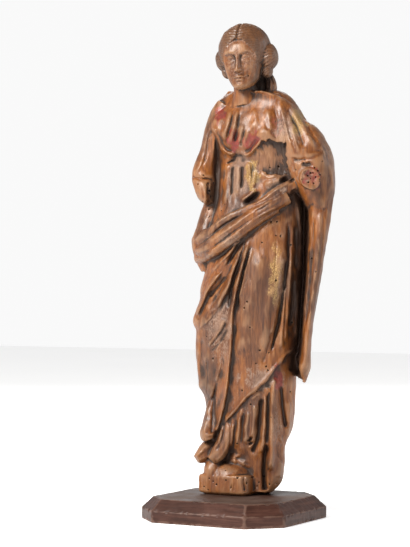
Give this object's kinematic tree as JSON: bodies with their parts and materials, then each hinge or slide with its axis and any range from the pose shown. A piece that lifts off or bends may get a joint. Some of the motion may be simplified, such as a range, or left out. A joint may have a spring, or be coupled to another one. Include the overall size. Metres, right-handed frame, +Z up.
{
  "type": "carved wooden virgin statue",
  "caption": "Standing mantled woman carved in wood with both forearms broken off, on a low plinth with cut corners and a bevelled top edge.",
  "frame": {"origin": "middle of the plinth's underside", "axes": "+Z up, -Y towards the front of the plinth and of the figure, +X towards the figure's left arm"},
  "size_m": [0.1678, 0.1436, 0.4732],
  "materials": {
    "carved_wood": "old carved wood, orange-brown where bare, with rubbed remains of pale ground, red paint and gilding, worm holes and dark dirt in the folds",
    "plinth_wood": "dark red-brown stained wood, satin, dusty on top and rubbed lighter along its edges"
  },
  "bodies": {
    "root": {"figure": "carved_wood", "plinth": "plinth_wood"}
  },
  "joints": []
}
